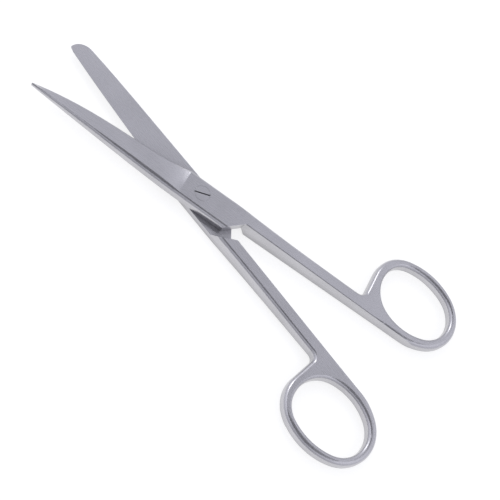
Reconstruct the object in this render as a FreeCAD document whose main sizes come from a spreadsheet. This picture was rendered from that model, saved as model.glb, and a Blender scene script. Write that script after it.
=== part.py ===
# Straight operating scissors of stainless steel, one blade pointed and one blade round-ended.
# Two forged halves cross at a half-lapped joint and turn on a flush slotted screw.
# Lengths are in millimetres and angles in degrees. Each half is drawn closed, in its own frame:
# X runs from the screw to the finger ring, Y towards the outer side of the shank, and Z = 0 is the
# plane in which the two halves meet, with the joint area and the blade above it.
import FreeCAD, Part
import math
import os
import Sketcher

os.makedirs("parts", exist_ok=True)
doc = FreeCAD.newDocument("operating_scissors")

# Driving dimensions
SIZES = {
    # Joint area
    "joint_half_width": 4.9,
    "joint_height": 2.72,
    "joint_width_end": 12.0,
    "sharp_joint_flare": 0.62,
    "blunt_joint_flare": 0.32,
    "lap_gap": 0.02,
    "grind_depth": 0.05,
    "edge_round": 1.35,
    "pivot_offset": 0.387,
    # Stop: the step of one half meets the end wall of the other when closed
    "stop_angle": 46.0,
    "stop_reach": 14.05,
    "stop_side": 1.25,
    "stop_gap": 0.12,
    "stop_corner_radius": 0.8,
    "step_lean": 30.0,
    # Shank
    "inner_wall": 0.388,
    "grinding_stock": 0.74,
    "shank_outer": 4.46,
    "shank_waist": 40.0,
    "taper_start": 12.0,
    "taper_blend_radius": 300.0,
    "forged_taper_short": 1.2,
    "ground_taper_short": 6.2,
    # Finger ring: a round web end and a round far end, joined by a flatter outer flank
    "ring_half_height": 1.82,
    "ring_clearance": 0.02,
    "ring_reach": 68.2,
    "ring_side": 14.52,
    "ring_web_radius": 11.22,
    "ring_stretch": 7.23,
    "ring_drop": 1.87,
    "ring_end_radius": 12.14,
    "ring_flank_radius": 20.24,
    "ring_foot_radius": 19.5,
    "web_root_radius": 2.1,
    # Finger hole: three rounded corners, joined by flatter stretches
    "ring_end_bar": 2.98,
    "hole_end_shift": 0.18,
    "hole_end_rise": 0.29,
    "ring_web_bar": 3.48,
    "hole_top_shift": -0.07,
    "hole_top_rise": 0.79,
    "web_bar": 1.68,
    "hole_low_shift": 1.67,
    "hole_low_rise": -1.08,
    "hole_flank_radius": 18.69,
    "hole_web_radius": 10.97,
    "hole_inner_radius": 16.17,
    "hole_round": 1.2,
    # Blades
    "blade_root": 6.0,
    "edge_land": 0.06,
    "edge_bevel": 0.40,
    "edge_bevel_rise": 0.36,
    "edge_bevel_radius": 3.0,
    "nose_radius": 4.3,
    "nose_reach": 57.7,
    "nose_side": 0.1,
    "nose_stock": 2.3,
    "nose_corner": 0.49,
    "nose_corner_lean": 25.0,
    # Where the blades' ground sections lie: how far from the screw, and the round-ended blade's
    # toe how far short of its nose
    "sharp_heel_station": 20.0,
    "sharp_belly_station": 34.0,
    "sharp_toe_station": 47.0,
    "sharp_tip_station": 57.4,
    "blunt_heel_station": 20.0,
    "blunt_belly_station": 34.0,
    "blunt_toe_station": 7.7,
    # Screw
    "screw_head_radius": 2.45,
    "screw_head_height": 1.30,
    "screw_radius": 1.50,
    "running_clearance": 0.05,
    "thread_clearance": 0.01,
    "slot_width": 0.38,
    "slot_depth": 0.60,
    "slot_angle": 30.4,
    # Pose in the photograph
    "opening": 18.67,
    # Where the cutting edge and the spine leave the joint area
    "sharp_root_edge": 5.08,
    "sharp_root_spine": 4.75,
    "blunt_root_edge": 4.75,
    "blunt_root_spine": 5.20,
}

# Ground sections of the blades: where the cutting edge, ridge and spine of each lie across the
# blade, how high the ridge is, and how high the spine's upright wall is. The round-ended blade's
# last section lies in the stock beyond its nose.
SECTION_SIZES = ("edge", "ridge", "spine", "height", "wall")
SECTIONS = {
    "sharp_heel": (4.34, 2.80, 4.20, 2.55, 1.20),
    "sharp_belly": (3.57, 2.35, 3.25, 2.11, 0.80),
    "sharp_toe": (1.97, 1.65, 2.27, 1.47, 0.45),
    "sharp_tip": (-0.45, 0.98, 1.42, 0.70, 0.25),
    "blunt_heel": (4.25, 3.70, 5.02, 2.55, 1.20),
    "blunt_belly": (3.26, 3.70, 4.85, 2.11, 0.80),
    "blunt_toe": (1.88, 3.55, 4.40, 1.30, 0.50),
    "blunt_end": (0.80, 3.10, 3.80, 0.72, 0.25),
}
for section_name, section_values in SECTIONS.items():
    for size_name, size_value in zip(SECTION_SIZES, section_values):
        SIZES[section_name + "_" + size_name] = size_value

sheet = doc.addObject("Spreadsheet::Sheet", "size")
for row, (alias, number) in enumerate(SIZES.items(), start=1):
    sheet.set("A%d" % row, alias.replace("_", " "))
    sheet.set("B%d" % row, str(number))
    sheet.setAlias("B%d" % row, alias)
doc.recompute()

# Lengths that several outlines share
FORGED_HEIGHT = "(size.joint_height + size.grind_depth)"
RING_END_X = "(size.ring_reach + size.ring_stretch)"
RING_END_Y = "(size.ring_side - size.ring_drop)"
FAR_RIGHT = f"({RING_END_X} + 2 * size.ring_end_radius)"
FAR_SIDE = "(3 * size.joint_half_width)"
CREASE_INSET = (
    "(size.edge_round - sqrt(size.edge_round ^ 2 - (size.edge_round - size.grind_depth) ^ 2))"
)
STOP_SLOPE = "(1 / tan(size.stop_angle))"
RAW_INNER_WALL = "(size.inner_wall - size.grinding_stock)"

# A step that takes away or adds less than this, in cubic mm, has missed the part
LEAST_CUT = 0.001


def new_body(label):
    body = doc.addObject("PartDesign::Body", label)
    body.Label = label
    return body


def new_sketch(body, name, plane):
    """A sketch on one of the body's own origin planes."""
    support = [f for f in body.Origin.OriginFeatures if f.Role == plane][0]
    sketch = body.newObject("Sketcher::SketchObject", name)
    sketch.AttachmentSupport = [(support, "")]
    sketch.MapMode = "FlatFace"
    return sketch


def bind(sketch, constraint, expression):
    """Add a driving dimension and tie it to the sizes."""
    index = sketch.addConstraint(constraint)
    sketch.setExpression(f"Constraints[{index}]", expression)


def bind_point(sketch, geometry, end, x, y):
    """Place one end of a stretch, measured from the sketch's origin."""
    for kind, expression in (("DistanceX", x), ("DistanceY", y)):
        if expression:
            value = sketch.evalExpression(expression)
            bind(sketch, Sketcher.Constraint(kind, -1, 1, geometry, end, value), expression)


def arc_through(start, finish, radius, side):
    """An arc of less than half a turn, and the numbers of its first and last end as travelled.
    Its centre lies left of the way travelled where side is 1, and right of it where side is -1."""
    chord = finish - start
    left = FreeCAD.Vector(-chord.y, chord.x, 0).normalize()
    rise = math.sqrt(max(radius ** 2 - (chord.Length / 2) ** 2, 0.0))
    centre = start + chord * 0.5 + left * (side * rise)
    circle = Part.Circle(centre, FreeCAD.Vector(0, 0, 1), radius)
    low, high = (start, finish) if side > 0 else (finish, start)
    angles = [math.atan2(point.y - centre.y, point.x - centre.x) for point in (low, high)]
    if angles[1] < angles[0]:
        angles[1] += 2 * math.pi
    return Part.ArcOfCircle(circle, *angles), (1, 2) if side > 0 else (2, 1)


def joining_centre(first, second, radius):
    """The centre of the arc that runs anticlockwise from one circle to the next and touches both.
    A circle is its centre and its radius."""
    way = second[0] - first[0]
    reach = radius - first[1]
    along = (reach ** 2 - (radius - second[1]) ** 2 + way.Length ** 2) / (2 * way.Length)
    across = math.sqrt(reach ** 2 - along ** 2)
    way.normalize()
    return first[0] + way * along + FreeCAD.Vector(-way.y, way.x, 0) * across


def touch_angle(arc, following):
    """Which way the point where two arcs of a convex outline touch lies from their centres."""
    way = following[0] - arc[0] if arc[1] > following[1] else arc[0] - following[0]
    return math.atan2(way.y, way.x)


def draw_convex_arcs(sketch, arcs, turns=None):
    """Arcs that run anticlockwise, each touching the next. An arc is its centre, its radius, and
    the expressions for its centre's x and y, None where its neighbours settle them, and for its
    radius. Turns are the angles at which an open chain starts and ends; a closed one has none."""
    touches = [touch_angle(arc, arcs[(n + 1) % len(arcs)]) for n, arc in enumerate(arcs)]
    drawn = []
    for number, (centre, radius, x, y, radius_text) in enumerate(arcs):
        start, finish = touches[number - 1], touches[number]
        if turns and number == 0:
            start = turns[0]
        if turns and number == len(arcs) - 1:
            finish = turns[1]
        if finish < start:
            finish += 2 * math.pi
        circle = Part.Circle(centre, FreeCAD.Vector(0, 0, 1), radius)
        arc = sketch.addGeometry(Part.ArcOfCircle(circle, start, finish))
        bind_point(sketch, arc, 3, x, y)
        bind(sketch, Sketcher.Constraint("Radius", arc, radius), radius_text)
        drawn.append(arc)
    for number, arc in enumerate(drawn):
        if number or not turns:
            sketch.addConstraint(Sketcher.Constraint("Tangent", drawn[number - 1], 2, arc, 1))
    return drawn


def numbered_circle(sketch, circle):
    """A circle's centre and radius as numbers, then the expressions that they come from."""
    x, y, radius = (sketch.evalExpression(text) for text in circle)
    return (FreeCAD.Vector(x, y, 0), radius) + circle


def draw_outline(sketch, corners, ring=None):
    """Draw a closed outline, anticlockwise or clockwise. Each corner is (x, y), or
    (x, y, radius, side) where an arc arrives at it; every corner and radius is tied to the sizes.
    The arcs of the ring, where it is given, stand between the last corner and the first."""
    points = [
        FreeCAD.Vector(sketch.evalExpression(corner[0]), sketch.evalExpression(corner[1]), 0)
        for corner in corners
    ]
    ends = []
    before = points[-1]
    if ring:
        ring_start, before = (
            FreeCAD.Vector(arc.StartPoint if first else arc.EndPoint)
            for arc, first in ((sketch.Geometry[ring[0]], True), (sketch.Geometry[ring[-1]], False))
        )
        ends = [(arc, 1, 2) for arc in ring]
    for point, corner in zip(points, corners):
        if len(corner) == 4:
            radius = sketch.evalExpression(corner[2])
            shape, (first, last) = arc_through(before, point, radius, corner[3])
            geometry = sketch.addGeometry(shape)
            bind(sketch, Sketcher.Constraint("Radius", geometry, radius), corner[2])
        else:
            geometry, first, last = sketch.addGeometry(Part.LineSegment(before, point)), 1, 2
        bind_point(sketch, geometry, last, corner[0], corner[1])
        ends.append((geometry, first, last))
        before = point
    if ring:
        ends.append((sketch.addGeometry(Part.LineSegment(before, ring_start)), 1, 2))
    for number, (geometry, first, _) in enumerate(ends):
        if ring and geometry in ring[1:]:
            continue
        previous, _, previous_last = ends[number - 1]
        sketch.addConstraint(
            Sketcher.Constraint("Coincident", previous, previous_last, geometry, first)
        )


def draw_ring_edge(sketch):
    """The outer edge of the finger ring, from the raw inner wall round to its web side."""
    far_end = numbered_circle(sketch, (RING_END_X, RING_END_Y, "size.ring_end_radius"))
    web_end = numbered_circle(sketch, ("size.ring_reach", "size.ring_side", "size.ring_web_radius"))
    flank_radius = sketch.evalExpression("size.ring_flank_radius")
    flank = joining_centre(far_end, web_end, flank_radius)
    foot_y = f"({RAW_INNER_WALL} + size.ring_foot_radius)"
    foot_x = (f"({RING_END_X} - sqrt((size.ring_foot_radius - size.ring_end_radius) ^ 2"
              f" - ({foot_y} - {RING_END_Y}) ^ 2))")
    foot = numbered_circle(sketch, (foot_x, foot_y, "size.ring_foot_radius"))
    arcs = draw_convex_arcs(sketch, [
        foot[:2] + (None,) + foot[3:],
        far_end,
        (flank, flank_radius, None, None, "size.ring_flank_radius"),
        web_end,
    ], turns=(-math.pi / 2, math.pi))
    sketch.addConstraint(Sketcher.Constraint("Vertical", arcs[0], 1, arcs[0], 3))
    bind_point(sketch, arcs[-1], 2, None, "size.ring_side")
    return arcs


def draw_hole(sketch):
    """The finger hole: round corners at the far end and on both sides of the web."""
    corners = [
        (f"{RING_END_X} + size.hole_end_shift", f"{RING_END_Y} + size.hole_end_rise",
         "size.ring_end_radius - size.ring_end_bar"),
        ("size.ring_reach + size.hole_top_shift", "size.ring_side + size.hole_top_rise",
         "size.ring_web_radius - size.ring_web_bar"),
        ("size.ring_reach + size.hole_low_shift", "size.ring_side + size.hole_low_rise",
         "size.ring_web_radius - size.web_bar"),
    ]
    corners = [numbered_circle(sketch, corner) for corner in corners]
    arcs = []
    for number, name in enumerate(("flank", "web", "inner")):
        text = f"size.hole_{name}_radius"
        radius = sketch.evalExpression(text)
        centre = joining_centre(corners[number], corners[(number + 1) % 3], radius)
        arcs += [corners[number], (centre, radius, None, None, text)]
    draw_convex_arcs(sketch, arcs)


def draw_circle(sketch, x, y, radius):
    values = [sketch.evalExpression(expression) for expression in (x, y, radius)]
    centre = FreeCAD.Vector(values[0], values[1], 0)
    circle = sketch.addGeometry(Part.Circle(centre, FreeCAD.Vector(0, 0, 1), values[2]))
    bind_point(sketch, circle, 3, x, y)
    bind(sketch, Sketcher.Constraint("Radius", circle, values[2]), radius)


def pad_both_ways(body, name, sketch, length):
    pad = body.newObject("PartDesign::Pad", name)
    pad.Profile = sketch
    pad.SideType = "Symmetric"
    pad.setExpression("Length", length)
    doc.recompute()
    return pad


def pocket(body, name, sketch, length=None, reversed_way=False):
    """Cut a sketch's outline out of the body: both ways and right through where no length is
    given, and one way otherwise. The cut has to take something away."""
    before = body.Shape.Volume
    cut = body.newObject("PartDesign::Pocket", name)
    cut.Profile = sketch
    if length:
        cut.Reversed = reversed_way
        cut.setExpression("Length", length)
    else:
        cut.SideType = "Symmetric"
        cut.setExpression("Length", f"2 * {FAR_RIGHT}")
    doc.recompute()
    if body.Shape.Volume > before - LEAST_CUT:
        raise RuntimeError(f"{body.Label}: {name} cuts nothing")
    return cut


def upright_edges(body):
    """The edges between an upright wall and a flat, apart from those of the joint area's end."""
    upright, flat, near = 0.001, 0.9, 0.001
    names = []
    for number, edge in enumerate(body.Shape.Edges, start=1):
        middle = edge.valueAt((edge.FirstParameter + edge.LastParameter) / 2)
        steepness = []
        for face in body.Shape.ancestorsOfType(edge, Part.Face):
            u, v = face.Surface.parameter(middle)
            steepness.append(abs(face.normalAt(u, v).z))
        at_blade = abs(middle.x + SIZES["blade_root"]) < near
        if len(steepness) == 2 and not at_blade:
            if min(steepness) < upright and max(steepness) > flat:
                names.append(f"Edge{number}")
    return names


def fillet(body, name, edges, radius):
    base = body.Tip
    rounding = body.newObject("PartDesign::Fillet", name)
    rounding.Base = (base, edges)
    rounding.setExpression("Radius", radius)
    doc.recompute()
    return rounding


# The blank that both halves are forged to: joint area, shank, web and ring in one plate
def forge_blank(body, kind):
    sketch = new_sketch(body, "blank_outline", "XY_Plane")
    root = "-size.blade_root"
    flare = f"size.{kind}_joint_flare"
    waist = "(size.shank_waist - size.joint_width_end)"
    stock_shift = "size.grinding_stock / sin(size.stop_angle)"
    left = "(size.ring_reach - size.ring_web_radius)"
    draw_outline(sketch, [
        (left, "size.shank_outer + size.web_root_radius"),
        (f"{left} - size.web_root_radius", "size.shank_outer", "size.web_root_radius", -1),
        ("size.shank_waist", "size.shank_outer"),
        ("size.joint_width_end", f"size.shank_outer + {flare}",
         f"({waist} ^ 2 + {flare} ^ 2) / (2 * {flare})", -1),
        (root, f"size.{kind}_root_edge"),
        (root, f"-size.{kind}_root_spine"),
        (f"size.stop_reach + (size.stop_side - size.joint_half_width) * {STOP_SLOPE}"
         f" + {stock_shift}", "-size.joint_half_width"),
        (f"size.stop_reach + (size.stop_side + {RAW_INNER_WALL}) * {STOP_SLOPE}"
         f" + {stock_shift}", RAW_INNER_WALL),
    ], ring=draw_ring_edge(sketch))
    pad_both_ways(body, "blank", sketch, f"2 * {FORGED_HEIGHT}")

    # The plate thins from the joint area to the ring
    taper = new_sketch(body, "forged_taper", "XZ_Plane")
    for way in ("", "-"):
        draw_taper(taper, FORGED_HEIGHT, "size.ring_half_height", "size.forged_taper_short", way)
    pocket(body, "forged_thinning", taper)

    # Forged edges all round, then the finger hole and its rounded rim
    fillet(body, "outer_rounding", upright_edges(body), "size.edge_round")
    hole = new_sketch(body, "hole_outline", "XY_Plane")
    draw_hole(hole)
    pocket(body, "finger_hole", hole)
    fillet(body, "hole_rounding", upright_edges(body), "size.hole_round")


def draw_taper(sketch, thick, thin, short, way):
    """The outline that thins one side of the plate: level over the joint area, then sloping."""
    end = f"(size.ring_reach - {short})"
    slope = f"atan(({thick} - {thin}) / ({end} - size.taper_start))"
    tangent = f"(size.taper_blend_radius * tan({slope} / 2))"
    side = -1 if way == "" else 1
    draw_outline(sketch, [
        ("-2 * size.blade_root", f"{way}{thick}"),
        (f"size.taper_start - {tangent}", f"{way}{thick}"),
        (f"size.taper_start + {tangent} * cos({slope})",
         f"{way}({thick} - {tangent} * sin({slope}))", "size.taper_blend_radius", side),
        (f"{end} - {tangent} * cos({slope})", f"{way}({thin} + {tangent} * sin({slope}))"),
        (f"{end} + {tangent}", f"{way}{thin}", "size.taper_blend_radius", -side),
        (FAR_RIGHT, f"{way}{thin}"),
        (FAR_RIGHT, f"{way}2 * {FORGED_HEIGHT}"),
        ("-2 * size.blade_root", f"{way}2 * {FORGED_HEIGHT}"),
    ])


# Grinding of the blank: outer flats, lapped face, step, end wall and inner wall
def grind_blank(body):
    flats = new_sketch(body, "ground_flats", "XZ_Plane")
    for way in ("", "-"):
        draw_taper(flats, "size.joint_height", "(size.ring_half_height + size.ring_clearance)",
                   "size.ground_taper_short", way)
    pocket(body, "flat_grinding", flats)

    # Half lap: seen along the step, whose wall leans back from the joint plane
    lap = new_sketch(body, "lap_outline", "XZ_Plane")
    lap.AttachmentOffset = FreeCAD.Placement(
        FreeCAD.Vector(), FreeCAD.Rotation(FreeCAD.Vector(0, 1, 0), 1.0)
    )
    lap.setExpression("AttachmentOffset.Base.x", "size.stop_reach")
    lap.setExpression("AttachmentOffset.Base.z", "-size.stop_side")
    lap.setExpression("AttachmentOffset.Rotation.Angle", "90 - size.stop_angle")
    depth = f"(2 * {FORGED_HEIGHT})"
    draw_outline(lap, [
        ("0", "size.lap_gap / 2"),
        (f"-{FAR_RIGHT}", "size.lap_gap / 2"),
        (f"-{FAR_RIGHT}", f"-{depth}"),
        (f"{depth} * tan(size.step_lean)", f"-{depth}"),
    ])
    pocket(body, "half_lap", lap)

    # End wall of the joint area and inner wall of the shank, with a small corner between them
    relief = new_sketch(body, "relief_outline", "XY_Plane")
    gap_shift = "size.stop_gap / sin(size.stop_angle)"
    corner = (
        f"(size.stop_reach + (size.stop_side + size.inner_wall) * {STOP_SLOPE} - {gap_shift})"
    )
    tangent = "(size.stop_corner_radius * tan(size.stop_angle / 2))"
    draw_outline(relief, [
        (f"{corner} - ({FAR_SIDE} + size.inner_wall) * {STOP_SLOPE}", f"-{FAR_SIDE}"),
        (f"{corner} - {tangent} * cos(size.stop_angle)",
         f"size.inner_wall - {tangent} * sin(size.stop_angle)"),
        (f"{corner} + {tangent}", "size.inner_wall", "size.stop_corner_radius", -1),
        (FAR_RIGHT, "size.inner_wall"),
        (FAR_RIGHT, f"-{FAR_SIDE}"),
    ])
    pocket(body, "relief", relief)


# Blade: one smooth loft from the joint area's end face through the ground sections to the tip
def grind_blade(body, kind, places):
    root = new_sketch(body, "blade_root_section", "YZ_Plane")
    root.setExpression("AttachmentOffset.Base.z", "-size.blade_root")
    edge, spine = f"size.{kind}_root_edge", f"size.{kind}_root_spine"
    wall = f"({FORGED_HEIGHT} - size.edge_round)"
    draw_outline(root, [
        (f"-{spine}", "size.lap_gap / 2"),
        (edge, "size.lap_gap / 2"),
        (edge, wall),
        (f"{edge} - {CREASE_INSET}", "size.joint_height", "size.edge_round", 1),
        (f"-{spine} + {CREASE_INSET}", "size.joint_height"),
        (f"-{spine}", wall, "size.edge_round", 1),
    ])
    sections = []
    for station, place in places.items():
        edge, ridge, spine, height, wall = (
            f"size.{kind}_{station}_{item}" for item in SECTION_SIZES
        )
        inset = f"({spine} - {ridge})"
        rise = f"({height} - {wall})"
        section = new_sketch(body, f"blade_{station}_section", "YZ_Plane")
        section.setExpression("AttachmentOffset.Base.z", f"-{place}")
        draw_outline(section, [
            (f"-{spine}", "size.lap_gap / 2"),
            (edge, "size.lap_gap / 2"),
            (edge, "size.lap_gap / 2 + size.edge_land"),
            (f"{edge} - size.edge_bevel",
             "size.lap_gap / 2 + size.edge_land + size.edge_bevel_rise",
             "size.edge_bevel_radius", 1),
            (f"-{ridge}", height),
            (f"-{spine}", wall, f"({inset} ^ 2 + {rise} ^ 2) / (2 * {inset})", 1),
        ])
        sections.append(section)
    doc.recompute()
    before = body.Shape.Volume
    blade = body.newObject("PartDesign::AdditiveLoft", "blade")
    blade.Profile = root
    blade.Sections = sections
    doc.recompute()
    if body.Shape.Volume < before + LEAST_CUT:
        raise RuntimeError(f"{body.Label}: the blade adds nothing")


# The round-ended blade is trimmed to a nose that runs from its spine to its cutting edge
NOSE_CENTRE = "(size.nose_radius - size.nose_reach)"
BLUNT_END = "(size.nose_reach + size.nose_stock)"


def round_nose(body):
    nose = new_sketch(body, "nose_outline", "XY_Plane")
    corner = (f"({NOSE_CENTRE} - sqrt(size.nose_radius ^ 2"
              f" - (size.nose_corner - size.nose_side) ^ 2))")
    draw_outline(nose, [
        (NOSE_CENTRE, f"-{FAR_SIDE}"),
        (NOSE_CENTRE, "size.nose_side - size.nose_radius"),
        ("-size.nose_reach", "size.nose_side", "size.nose_radius", -1),
        (corner, "size.nose_corner", "size.nose_radius", -1),
        (f"{corner} + ({FAR_SIDE} - size.nose_corner) / tan(size.nose_corner_lean)", FAR_SIDE),
        (f"-{BLUNT_END} - size.nose_stock", FAR_SIDE),
        (f"-{BLUNT_END} - size.nose_stock", f"-{FAR_SIDE}"),
    ])
    pocket(body, "nose", nose)


def bore(body, name, y, radius):
    sketch = new_sketch(body, f"{name}_outline", "XY_Plane")
    draw_circle(sketch, "0", y, radius)
    pocket(body, name, sketch)


def head_seat(body):
    """The flat-bottomed recess that lets the screw head lie flush."""
    sketch = new_sketch(body, "head_seat_outline", "XY_Plane")
    sketch.setExpression("AttachmentOffset.Base.z", "size.joint_height")
    draw_circle(sketch, "0", "size.pivot_offset",
                "size.screw_head_radius + size.running_clearance")
    pocket(body, "head_seat", sketch, "size.screw_head_height + size.running_clearance")


sharp_half = new_body("sharp_half")
forge_blank(sharp_half, "sharp")
grind_blank(sharp_half)
grind_blade(sharp_half, "sharp", {
    "heel": "size.sharp_heel_station",
    "belly": "size.sharp_belly_station",
    "toe": "size.sharp_toe_station",
    "tip": "size.sharp_tip_station",
})
bore(sharp_half, "pivot_bore", "size.pivot_offset", "size.screw_radius + size.running_clearance")
head_seat(sharp_half)

blunt_half = new_body("blunt_half")
forge_blank(blunt_half, "blunt")
grind_blank(blunt_half)
grind_blade(blunt_half, "blunt", {
    "heel": "size.blunt_heel_station",
    "belly": "size.blunt_belly_station",
    "toe": "(size.nose_reach - size.blunt_toe_station)",
    "end": BLUNT_END,
})
round_nose(blunt_half)
bore(blunt_half, "threaded_bore", "-size.pivot_offset", "size.screw_radius + size.thread_clearance")

# Pivot screw: turned head and shank, then the slot across the head
pivot_screw = new_body("pivot_screw")
turning = new_sketch(pivot_screw, "screw_outline", "XZ_Plane")
seat = "size.joint_height - size.screw_head_height"
draw_outline(turning, [
    ("0", "-size.joint_height"),
    ("size.screw_radius", "-size.joint_height"),
    ("size.screw_radius", seat),
    ("size.screw_head_radius", seat),
    ("size.screw_head_radius", "size.joint_height"),
    ("0", "size.joint_height"),
])
turned = pivot_screw.newObject("PartDesign::Revolution", "turned_screw")
turned.Profile = turning
turned.ReferenceAxis = (turning, ["V_Axis"])
doc.recompute()
slot = new_sketch(pivot_screw, "slot_outline", "XY_Plane")
slot.setExpression("AttachmentOffset.Base.z", "size.joint_height")
draw_outline(slot, [
    ("-2 * size.screw_head_radius", "-size.slot_width / 2"),
    ("2 * size.screw_head_radius", "-size.slot_width / 2"),
    ("2 * size.screw_head_radius", "size.slot_width / 2"),
    ("-2 * size.screw_head_radius", "size.slot_width / 2"),
])
pocket(pivot_screw, "slot", slot, "size.slot_depth")

# Assembly: the screw's axis stands on the origin, and the underside of the joint lies on Z = 0.
# Each half is turned by half the opening, and the blunt half is turned over.
UP = FreeCAD.Vector(0, 0, 1)


def turned_about_screw(angle):
    lift = UP * SIZES["joint_height"]
    return FreeCAD.Placement(lift, FreeCAD.Rotation(UP, angle))


to_screw = FreeCAD.Placement(FreeCAD.Vector(0, -SIZES["pivot_offset"], 0), FreeCAD.Rotation())
over = FreeCAD.Placement(FreeCAD.Vector(), FreeCAD.Rotation(FreeCAD.Vector(1, 0, 0), 180))
sharp_half.Placement = turned_about_screw(SIZES["opening"] / 2) * to_screw
blunt_half.Placement = turned_about_screw(-SIZES["opening"] / 2) * to_screw * over
pivot_screw.Placement = turned_about_screw(SIZES["slot_angle"])
doc.recompute()

# Check every object, then write one file for each piece
for item in doc.Objects:
    if "Invalid" in item.State or "Error" in item.State:
        raise RuntimeError(f"{item.Label} failed: {item.getStatusString()}")
pieces = (sharp_half, blunt_half, pivot_screw)
for piece in pieces:
    if piece.Shape.isNull() or not piece.Shape.isValid() or len(piece.Shape.Solids) != 1:
        raise RuntimeError(f"{piece.Label} is not one valid solid")
for piece in pieces:
    piece.Shape.exportStep(f"parts/{piece.Label}.step")
    print(piece.Label, piece.Shape.Volume, piece.Shape.optimalBoundingBox())
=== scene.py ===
# Straight operating scissors of satin stainless steel, partly open on a white table.
# The frame gives the two forged halves and the screw. This script gives their finish, the table,
# the light and the camera.
import math

import bpy
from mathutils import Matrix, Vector

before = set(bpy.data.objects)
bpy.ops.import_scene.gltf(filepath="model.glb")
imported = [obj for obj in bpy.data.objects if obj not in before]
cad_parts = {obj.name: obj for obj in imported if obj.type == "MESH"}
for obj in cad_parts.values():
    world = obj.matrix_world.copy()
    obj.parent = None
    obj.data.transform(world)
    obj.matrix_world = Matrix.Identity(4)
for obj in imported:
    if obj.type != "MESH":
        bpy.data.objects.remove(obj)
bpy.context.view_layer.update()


# Blunt half
# One forging of stainless steel: round-ended blade, lapped joint area, shank, web and ring.
# It is tumbled satin all over, then ground flat along its length on its faces and inner wall.

MM = 0.001
HALF_OPENING_DEGREES = 9.335
STEEL_TONE = (0.54, 0.535, 0.555)
SATIN_ROUGHNESS = 0.28
ROUGHNESS_SPREAD = 0.05
SOFTENED_EDGE = 0.10 * MM
EDGE_SAMPLES = 6

# Grinding marks, the fine grain between them, and the faint clouds of an uneven finish
MARK_LENGTH = 7 * MM
MARK_WIDTH = 0.16 * MM
MARK_DEPTH = 0.02 * MM
MARK_RELIEF = 0.35
MARK_DETAIL = 3.0
MARK_BREAKUP = 0.6
MARK_SHADES = (0.93, 1.07)
GRAIN_SIZE = 0.13 * MM
GRAIN_DETAIL = 2.0
CLOUDS_PER_METRE = 90.0
CLOUD_DETAIL = 3.0
CLOUD_SHADES = (0.95, 1.05)
NOISE_MIDDLE = (0.3, 0.7)
EVEN_MIX = 0.5

# Painted shade in recesses: the steel's colour is darkened where another face stands close by
PAINTED_SHADE_REACH = 3 * MM
PAINTED_SHADE_TONE = 0.4
PAINTED_SHADE_SAMPLES = 8


def new_material(name):
    """A material with an empty node tree, and that tree."""
    material = bpy.data.materials.new(name)
    material.use_nodes = True
    tree = material.node_tree
    tree.nodes.clear()
    return material, tree


def node(tree, kind, inputs=None, **settings):
    """A shader node, with its settings and inputs. An input is a value or another node's socket."""
    made = tree.nodes.new(kind)
    for name, value in settings.items():
        setattr(made, name, value)
    for name, value in (inputs or {}).items():
        if isinstance(value, bpy.types.NodeSocket):
            tree.links.new(value, made.inputs[name])
        else:
            made.inputs[name].default_value = value
    return made


def combine(tree, operation, first, second):
    """Two values joined by an operation."""
    return node(tree, "ShaderNodeMath", {0: first, 1: second}, operation=operation).outputs[0]


def noise(tree, place, scale, detail, **more):
    """A noise value at each place."""
    return node(tree, "ShaderNodeTexNoise",
                {"Vector": place, "Scale": scale, "Detail": detail, **more}).outputs["Fac"]


def stretch(tree, value, low, high):
    """Stretch the middle of a noise value, where most of it lies, over a range."""
    return node(tree, "ShaderNodeMapRange",
                {"Value": value, "From Min": NOISE_MIDDLE[0], "From Max": NOISE_MIDDLE[1],
                 "To Min": low, "To Max": high}).outputs[0]


def satin_steel(name, run):
    """Satin steel whose fine grinding marks run along the half, at the angle run in degrees, with
    painted shade darkening its recesses.
    """
    material, tree = new_material(name)
    place = node(tree, "ShaderNodeTexCoord").outputs["Object"]
    turned = node(tree, "ShaderNodeMapping", {"Vector": place}, vector_type="TEXTURE")
    turned.inputs["Rotation"].default_value = (0, 0, math.radians(run))
    turned.inputs["Scale"].default_value = (MARK_LENGTH, MARK_WIDTH, MARK_WIDTH)
    marks = noise(tree, turned.outputs["Vector"], 1.0, MARK_DETAIL, Roughness=MARK_BREAKUP)
    grain = noise(tree, place, 1 / GRAIN_SIZE, GRAIN_DETAIL)
    cloud = noise(tree, place, CLOUDS_PER_METRE, CLOUD_DETAIL)
    height = combine(tree, "MULTIPLY", combine(tree, "ADD", marks, grain), EVEN_MIX)

    shade = combine(tree, "MULTIPLY", stretch(tree, cloud, *CLOUD_SHADES),
                    stretch(tree, height, *MARK_SHADES))
    # Painted shade: the steel's colour is darkened where another face stands within reach, as in
    # recesses and between the halves.
    open_sky = node(tree, "ShaderNodeAmbientOcclusion", {"Distance": PAINTED_SHADE_REACH},
                    samples=PAINTED_SHADE_SAMPLES)
    painted_shade = node(tree, "ShaderNodeMapRange",
                  {"Value": open_sky.outputs["AO"], "To Min": PAINTED_SHADE_TONE}).outputs[0]
    colour = node(tree, "ShaderNodeVectorMath",
                  {0: STEEL_TONE, "Scale": combine(tree, "MULTIPLY", shade, painted_shade)},
                  operation="SCALE").outputs["Vector"]

    soft_edge = node(tree, "ShaderNodeBevel", {"Radius": SOFTENED_EDGE}, samples=EDGE_SAMPLES)
    relief = node(tree, "ShaderNodeBump",
                  {"Strength": MARK_RELIEF, "Distance": MARK_DEPTH, "Height": height,
                   "Normal": soft_edge.outputs["Normal"]})
    roughness = stretch(tree, marks, SATIN_ROUGHNESS - ROUGHNESS_SPREAD,
                        SATIN_ROUGHNESS + ROUGHNESS_SPREAD)
    steel = node(tree, "ShaderNodeBsdfPrincipled",
                 {"Base Color": colour, "Metallic": 1.0, "Roughness": roughness,
                  "Normal": relief.outputs["Normal"]})
    node(tree, "ShaderNodeOutputMaterial", {"Surface": steel.outputs["BSDF"]})
    return material


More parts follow.
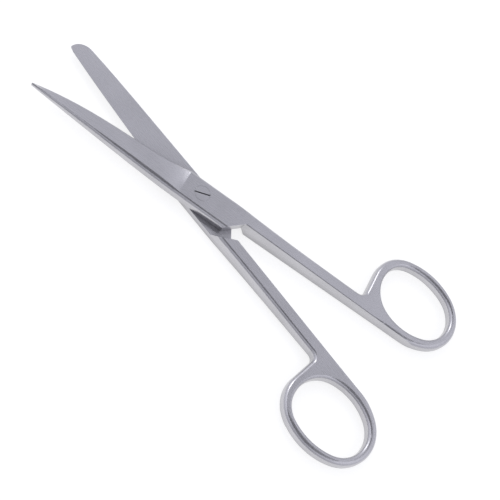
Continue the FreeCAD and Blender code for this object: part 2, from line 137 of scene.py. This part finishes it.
def dress(name, material):
    """Give a frame node its finish."""
    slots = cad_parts[name].data.materials
    slots.clear()
    slots.append(material)


dress("blunt_half", satin_steel("blunt_half_satin", -HALF_OPENING_DEGREES))


# Sharp half
# The same forging turned over, with a pointed blade. It lies on top, and its joint area carries
# the seat of the screw head.

dress("sharp_half", satin_steel("sharp_half_satin", HALF_OPENING_DEGREES))


# Pivot screw
# A turned and slotted screw of the same steel. It is fixed in the blunt half, and its head is
# ground flush with the sharp half's flat, so its marks run the way of that flat.

dress("pivot_screw", satin_steel("screw_satin", HALF_OPENING_DEGREES))


# Table
# A matt white table top, wide enough that no edge of it shows. The scissors lie loose on it, and
# it keeps their soft shadow.

TABLE_SIDE = 20.0
TABLE_COLOUR = (0.42, 0.42, 0.42, 1)
TABLE_GLOW = 0.77


def table_material():
    """Matt white, with a glow that only the eye and the steel's reflections see."""
    material, tree = new_material("white_table")
    shell = node(tree, "ShaderNodeBsdfDiffuse", {"Color": TABLE_COLOUR})
    path = node(tree, "ShaderNodeLightPath")
    seen = combine(tree, "MAXIMUM", path.outputs["Is Camera Ray"], path.outputs["Is Glossy Ray"])
    glow = node(tree, "ShaderNodeEmission",
                {"Strength": combine(tree, "MULTIPLY", seen, TABLE_GLOW)})
    lit = node(tree, "ShaderNodeAddShader", {0: shell.outputs[0], 1: glow.outputs[0]})
    node(tree, "ShaderNodeOutputMaterial", {"Surface": lit.outputs[0]})
    return material


bpy.ops.mesh.primitive_plane_add(size=TABLE_SIDE, location=(0, 0, 0))
table = bpy.context.object
table.name = "table"
table.data.materials.append(table_material())


# Studio light
# A tent of white cloth, brighter towards its sides, its back and its roof. The roof has a darker
# oval opening above the scissors, and a small lamp at the upper left picks out the rings.

TENT_LEVEL = 0.52
TENT_SIDES = 0.28
TENT_BACK = 0.10
TENT_ROOF = 1.0
ROOF_NARROWNESS = 4.0
TENT_TINT = (0.98, 0.985, 1.08, 1)
OPENING_CENTRE = (0.0, -0.02, 0.0)
OPENING_REACH = (0.44, 0.59, 1.0)
OPENING_EDGE = (0.92, 1.05)
OPENING_LEVEL = 0.15
KEY_PLACE = (-0.74, 0.54, 0.77)
KEY_SIDE = 0.30
KEY_WATTS = 1.1

world = bpy.data.worlds.new("light_tent")
bpy.context.scene.world = world
world.use_nodes = True
sky = world.node_tree
way = node(sky, "ShaderNodeTexCoord").outputs["Generated"]
place = node(sky, "ShaderNodeSeparateXYZ", {"Vector": way}).outputs
to_side = node(sky, "ShaderNodeMath", {0: place["X"]}, operation="ABSOLUTE").outputs[0]
to_roof = combine(sky, "POWER", place["Z"], ROOF_NARROWNESS)
cloth = TENT_LEVEL
for part, share in ((to_side, TENT_SIDES), (place["Y"], TENT_BACK), (to_roof, TENT_ROOF)):
    cloth = node(sky, "ShaderNodeMath", {0: part, 1: share, 2: cloth},
                 operation="MULTIPLY_ADD").outputs[0]

# How far a direction lies from the opening's centre, where 1 is the rim of the oval
offset = node(sky, "ShaderNodeVectorMath", {0: way, 1: OPENING_CENTRE},
              operation="SUBTRACT").outputs[0]
in_reaches = node(sky, "ShaderNodeVectorMath", {0: offset, 1: OPENING_REACH},
                  operation="DIVIDE").outputs[0]
in_plan = node(sky, "ShaderNodeVectorMath", {0: in_reaches, 1: (1, 1, 0)},
               operation="MULTIPLY").outputs[0]
from_centre = node(sky, "ShaderNodeVectorMath", {0: in_plan},
                   operation="LENGTH").outputs["Value"]
opening = node(sky, "ShaderNodeMapRange",
               {"Value": from_centre, "From Min": OPENING_EDGE[0], "From Max": OPENING_EDGE[1],
                "To Min": OPENING_LEVEL, "To Max": 1.0},
               interpolation_type="SMOOTHSTEP").outputs[0]
background = sky.nodes["Background"]
background.inputs["Color"].default_value = TENT_TINT
sky.links.new(combine(sky, "MULTIPLY", cloth, opening), background.inputs["Strength"])

key_light = bpy.data.lights.new("key_lamp", "AREA")
key_light.size = KEY_SIDE
key_light.energy = KEY_WATTS
key_lamp = bpy.data.objects.new("key_lamp", key_light)
key_lamp.location = KEY_PLACE
key_lamp.rotation_euler = Vector(KEY_PLACE).to_track_quat("Z", "Y").to_euler()
bpy.context.scene.collection.objects.link(key_lamp)


# Camera
# The photograph's view: from the front, 55 degrees above the table, turned so that the
# scissors run from the upper left to the lower right of a square frame.

CAMERA_PLACE = (0.002457, -0.233196, 0.334392)
CAMERA_TURN_DEGREES = (25.6905, -24.6977, 36.358)
FOCAL_PIXELS = 1400.0
FRAME_PIXELS = 500.0
SENSOR_MILLIMETRES = 36.0
NEAREST_IN_VIEW = 0.01

camera_data = bpy.data.cameras.new("photo_camera")
camera_data.sensor_width = SENSOR_MILLIMETRES
camera_data.lens = FOCAL_PIXELS / FRAME_PIXELS * SENSOR_MILLIMETRES
camera_data.clip_start = NEAREST_IN_VIEW
camera = bpy.data.objects.new("photo_camera", camera_data)
camera.location = CAMERA_PLACE
camera.rotation_euler = [math.radians(angle) for angle in CAMERA_TURN_DEGREES]
bpy.context.scene.collection.objects.link(camera)
bpy.context.scene.camera = camera
bpy.context.scene.view_settings.view_transform = "Standard"
